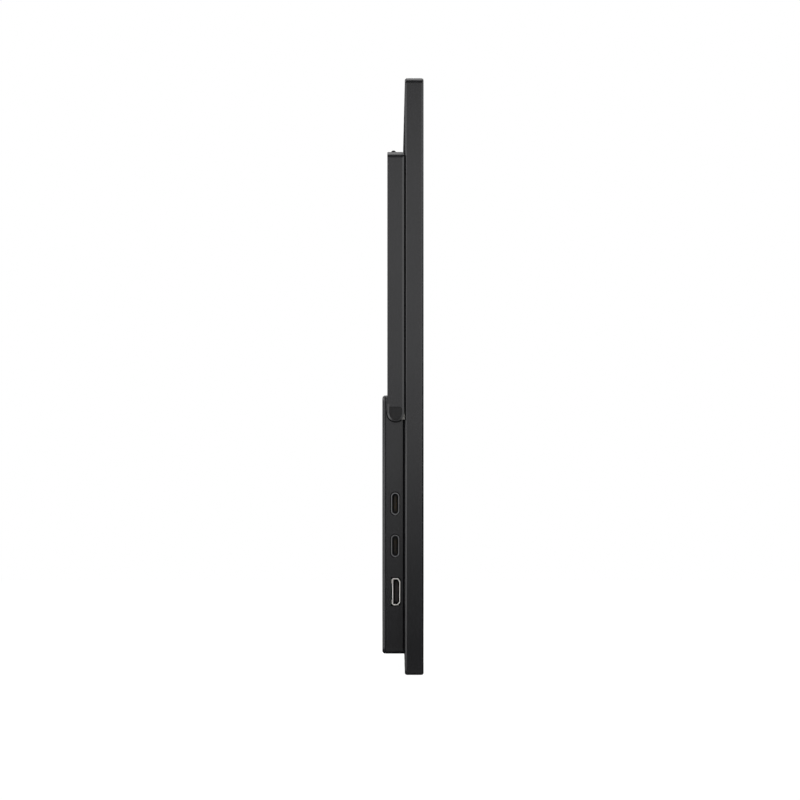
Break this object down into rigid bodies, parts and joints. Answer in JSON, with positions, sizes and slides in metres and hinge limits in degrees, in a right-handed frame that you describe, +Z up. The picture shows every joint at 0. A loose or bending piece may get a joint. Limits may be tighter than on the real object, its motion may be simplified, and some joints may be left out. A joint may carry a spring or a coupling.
{
  "type": "portable monitor",
  "caption": "Portable flat-panel monitor with a fold-out U-shaped stand on its back, video and power sockets on one side and keys on the other.",
  "frame": {"origin": "middle of the object's bounding box in X and Y, on the surface that its lower edge stands on", "axes": "+X to the viewer's right when facing the screen, -Y out of the screen towards the viewer, +Z up"},
  "size_m": [0.393, 0.0168, 0.242],
  "materials": {
    "housing_plastic": "fine-grain moulded black",
    "screen": "anti-glare black",
    "film": "white diffusing sheet",
    "acrylic": "clear sheet",
    "led": "lamp strip",
    "tray_metal": "plain sheet",
    "circuit_board": "green solder mask",
    "flex": "amber film",
    "rubber": "black moulded",
    "screw_steel": "zinc plated",
    "chip": "moulded black",
    "pad": "soft heat-conducting pad",
    "cable": "flat film cable",
    "port_dark": "black nickel plated",
    "port_bright": "nickel plated",
    "port_insert": "moulded black",
    "switch": "stamped",
    "key_plastic": "fine-grain moulded black",
    "hinge_steel": "oiled",
    "shaft_steel": "black oxide",
    "stand_metal": "matt black anodised"
  },
  "bodies": {
    "display": {"front_bezel": "housing_plastic", "rear_cover": "housing_plastic", "rear_housing": "housing_plastic", "lcd_cell": "screen", "optical_films": "film", "light_guide": "acrylic", "reflector_sheet": "film", "led_strip": "led", "lcd_tray": "tray_metal", "tcon_board": "circuit_board", "source_flexes": "flex", "rubber_feet": "rubber", "housing_screws": "screw_steel", "main_board": "circuit_board", "board_chips": "chip", "shield_can": "tray_metal", "thermal_pad": "pad", "heat_spreader": "tray_metal", "display_cable": "cable", "key_cable": "cable", "usb_c_shell_upper": "port_dark", "usb_c_shell_lower": "port_dark", "usb_c_tongue_upper": "port_insert", "usb_c_tongue_lower": "port_insert", "mini_hdmi_shell": "port_bright", "mini_hdmi_tongue": "port_insert", "speaker_left": "chip", "speaker_right": "chip", "key_board": "circuit_board", "board_screws": "screw_steel", "audio_jack": "port_insert", "power_switch": "switch", "nav_switch": "switch", "hinge_bracket_left": "hinge_steel", "hinge_bracket_right": "hinge_steel", "bracket_screws": "screw_steel"},
    "stand": {"stand_frame": "stand_metal", "stand_foot_strips": "rubber", "hinge_shaft_left": "shaft_steel", "hinge_shaft_right": "shaft_steel", "friction_washers_left": "hinge_steel", "friction_washers_right": "hinge_steel", "hinge_nut_left": "hinge_steel", "hinge_nut_right": "hinge_steel"},
    "power_key": {"power_button": "key_plastic"},
    "nav_tilt_ring": {"nav_ring": "switch"},
    "nav_tilt_block": {"nav_pivot": "switch"},
    "nav_key": {"nav_cap": "key_plastic"}
  },
  "joints": [
    {"name": "stand_fold", "type": "hinge", "parent": "display", "child": "stand", "pos_m": [0, 0.00296, 0.1062], "axis": [-1, 0, 0], "range_deg": [0, 180]},
    {"name": "power_press", "type": "slide", "parent": "display", "child": "power_key", "axis": [-1, 0, 0], "range_m": [0, 0.00025], "stiffness_N_per_m": 6000},
    {"name": "nav_up_down", "type": "hinge", "parent": "display", "child": "nav_tilt_ring", "pos_m": [0.18755, 0.00282, 0.0524], "axis": [0, 1, 0], "range_deg": [-6, 6], "stiffness_Nm_per_rad": 0.06},
    {"name": "nav_left_right", "type": "hinge", "parent": "nav_tilt_ring", "child": "nav_tilt_block", "pos_m": [0.18755, 0.00282, 0.0524], "axis": [0, 0, 1], "range_deg": [-6, 6], "stiffness_Nm_per_rad": 0.06},
    {"name": "nav_press", "type": "slide", "parent": "nav_tilt_block", "child": "nav_key", "axis": [-1, 0, 0], "range_m": [0, 0.0003], "stiffness_N_per_m": 6000}
  ]
}
